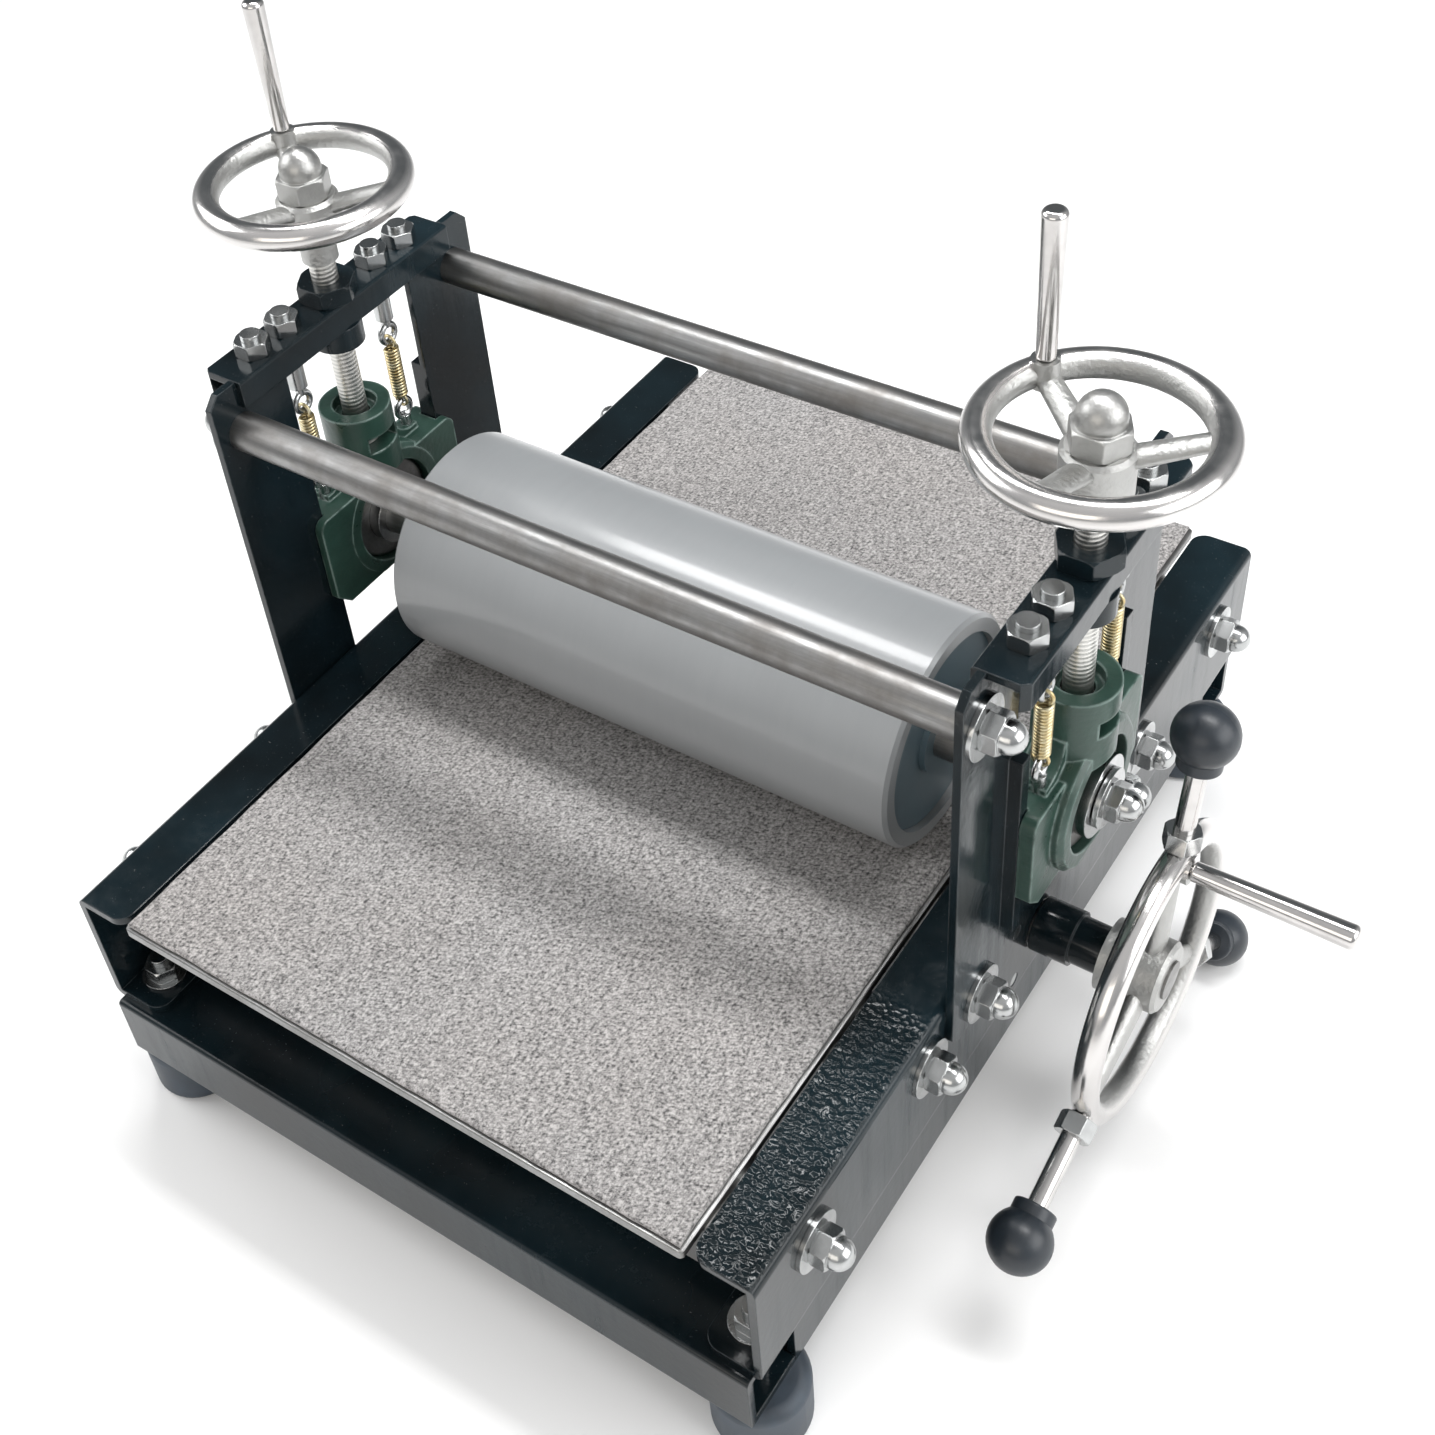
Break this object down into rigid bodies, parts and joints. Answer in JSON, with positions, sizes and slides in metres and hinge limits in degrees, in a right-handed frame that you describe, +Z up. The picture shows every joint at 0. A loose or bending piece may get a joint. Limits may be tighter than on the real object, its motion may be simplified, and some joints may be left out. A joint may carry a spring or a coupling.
{
  "type": "etching press",
  "caption": "Tabletop etching press: felt-topped steel bed run between a grey upper roller and a driven lower roller, with screw-down handwheels and a spoked drive wheel.",
  "frame": {"origin": "on the bench, under the middle of the overall width and of the bed's travel at rest", "axes": "+X along the rollers towards the drive wheel, +Y along the bed's travel towards the back, +Z up"},
  "size_m": [0.4878, 0.426, 0.3976],
  "materials": {
    "black_enamel": "gloss black enamel, blue-green tint, orange peel",
    "green_casting": "green painted casting",
    "rubber": "matte black rubber",
    "black_knob": "satin black rubber",
    "zinc": "bright zinc plate",
    "chrome": "polished chrome over a casting",
    "bare_steel": "bare drawn steel",
    "roller_grey": "satin light grey",
    "disc_blue": "satin blue-grey",
    "brass_spring": "yellow passivated wire",
    "grey_felt": "mottled grey wool felt"
  },
  "bodies": {
    "frame": {"acorn_nuts": "zinc", "bolt_washers": "zinc", "crossbar_nuts": "zinc", "crossbar_studs": "zinc", "eye_bolt_nuts": "zinc", "foot_bolts": "zinc", "foot_nuts": "zinc", "front_cross_member": "black_enamel", "front_tie_tube": "bare_steel", "idler_axles": "zinc", "left_crossbar": "black_enamel", "left_front_post": "black_enamel", "left_rail": "black_enamel", "left_rear_post": "black_enamel", "lower_bearing_bolts": "zinc", "lower_bearings": "black_enamel", "post_bolts": "zinc", "rear_cross_member": "black_enamel", "rear_tie_tube": "bare_steel", "return_springs": "brass_spring", "right_crossbar": "black_enamel", "right_front_post": "black_enamel", "right_rail": "black_enamel", "right_rear_post": "black_enamel", "rubber_feet": "rubber", "screw_nuts": "black_enamel", "side_sills": "black_enamel", "tie_rods": "zinc", "upper_eye_bolts": "zinc"},
    "drive": {"lower_roller": "bare_steel", "drive_shaft": "bare_steel", "drive_spacer": "black_enamel", "drive_wheel": "chrome", "drive_rods": "chrome", "rod_nuts": "zinc", "ball_knobs": "black_knob"},
    "drive_grip": {"drive_handle": "chrome"},
    "bed": {"bed_plate": "bare_steel", "felt_blanket": "grey_felt"},
    "carriage": {"left_bearing_housing": "green_casting", "right_bearing_housing": "green_casting", "bearing_outer_rings": "bare_steel", "lower_eye_screws": "zinc"},
    "upper_roller": {"top_roller": "roller_grey", "roller_end_discs": "disc_blue", "roller_shaft": "bare_steel", "bearing_inner_rings": "zinc", "shaft_end_nuts": "zinc"},
    "left_screw_set": {"left_screw": "bare_steel", "left_handwheel": "chrome", "left_wheel_cap_nut": "chrome"},
    "right_screw_set": {"right_screw": "bare_steel", "right_handwheel": "chrome", "right_wheel_cap_nut": "chrome"},
    "left_grip": {"left_wheel_handle": "chrome"},
    "right_grip": {"right_wheel_handle": "chrome"},
    "front_outer_idler_body": {"front_outer_idler": "bare_steel"},
    "front_inner_idler_body": {"front_inner_idler": "bare_steel"},
    "rear_inner_idler_body": {"rear_inner_idler": "bare_steel"},
    "rear_outer_idler_body": {"rear_outer_idler": "bare_steel"}
  },
  "joints": [
    {"name": "drive_turn", "type": "hinge", "parent": "frame", "child": "drive", "pos_m": [-0.03265, 0, 0.0887], "axis": [1, 0, 0], "range_deg": [-268, 268]},
    {"name": "bed_travel", "type": "slide", "parent": "frame", "child": "bed", "axis": [0, 1, 0], "range_m": [-0.15, 0.15]},
    {"name": "drive_grip_spin", "type": "hinge", "parent": "drive", "child": "drive_grip", "pos_m": [0.17535, 0.01049, 0.14269], "axis": [1, 0, 0], "continuous": true},
    {"name": "carriage_lift", "type": "slide", "parent": "frame", "child": "carriage", "axis": [0, 0, 1], "range_m": [0, 0.016], "deforming": ["return_springs"]},
    {"name": "upper_roller_turn", "type": "hinge", "parent": "carriage", "child": "upper_roller", "pos_m": [-0.03265, 0, 0.1755], "axis": [1, 0, 0], "range_deg": [-180, 180]},
    {"name": "left_screw_turn", "type": "hinge", "parent": "carriage", "child": "left_screw_set", "pos_m": [-0.20015, 0, 0.336], "axis": [0, 0, 1], "range_deg": [0, 2881]},
    {"name": "right_screw_turn", "type": "hinge", "parent": "carriage", "child": "right_screw_set", "pos_m": [0.13485, 0, 0.336], "axis": [0, 0, 1], "range_deg": [0, 2881]},
    {"name": "left_grip_spin", "type": "hinge", "parent": "left_screw_set", "child": "left_grip", "pos_m": [-0.22928, 0.02116, 0.336], "axis": [0, 0, 1], "continuous": true},
    {"name": "right_grip_spin", "type": "hinge", "parent": "right_screw_set", "child": "right_grip", "pos_m": [0.10572, 0.02116, 0.336], "axis": [0, 0, 1], "continuous": true},
    {"name": "front_outer_idler_turn", "type": "hinge", "parent": "frame", "child": "front_outer_idler_body", "pos_m": [-0.03265, -0.173, 0.105], "axis": [1, 0, 0], "range_deg": [-560, 560]},
    {"name": "front_inner_idler_turn", "type": "hinge", "parent": "frame", "child": "front_inner_idler_body", "pos_m": [-0.03265, -0.092, 0.105], "axis": [1, 0, 0], "range_deg": [-560, 560]},
    {"name": "rear_inner_idler_turn", "type": "hinge", "parent": "frame", "child": "rear_inner_idler_body", "pos_m": [-0.03265, 0.092, 0.105], "axis": [1, 0, 0], "range_deg": [-560, 560]},
    {"name": "rear_outer_idler_turn", "type": "hinge", "parent": "frame", "child": "rear_outer_idler_body", "pos_m": [-0.03265, 0.173, 0.105], "axis": [1, 0, 0], "range_deg": [-560, 560]}
  ],
  "couplings": [
    {"joint": "bed_travel", "follows": "drive_turn", "m_per_rad": -0.032},
    {"joint": "upper_roller_turn", "follows": "drive_turn", "ratio": -0.67086},
    {"joint": "left_screw_turn", "follows": "carriage_lift", "rad_per_m": 3141.6},
    {"joint": "right_screw_turn", "follows": "carriage_lift", "rad_per_m": 3141.6},
    {"joint": "front_outer_idler_turn", "follows": "drive_turn", "ratio": 2.0382},
    {"joint": "front_inner_idler_turn", "follows": "drive_turn", "ratio": 2.0382},
    {"joint": "rear_inner_idler_turn", "follows": "drive_turn", "ratio": 2.0382},
    {"joint": "rear_outer_idler_turn", "follows": "drive_turn", "ratio": 2.0382}
  ]
}
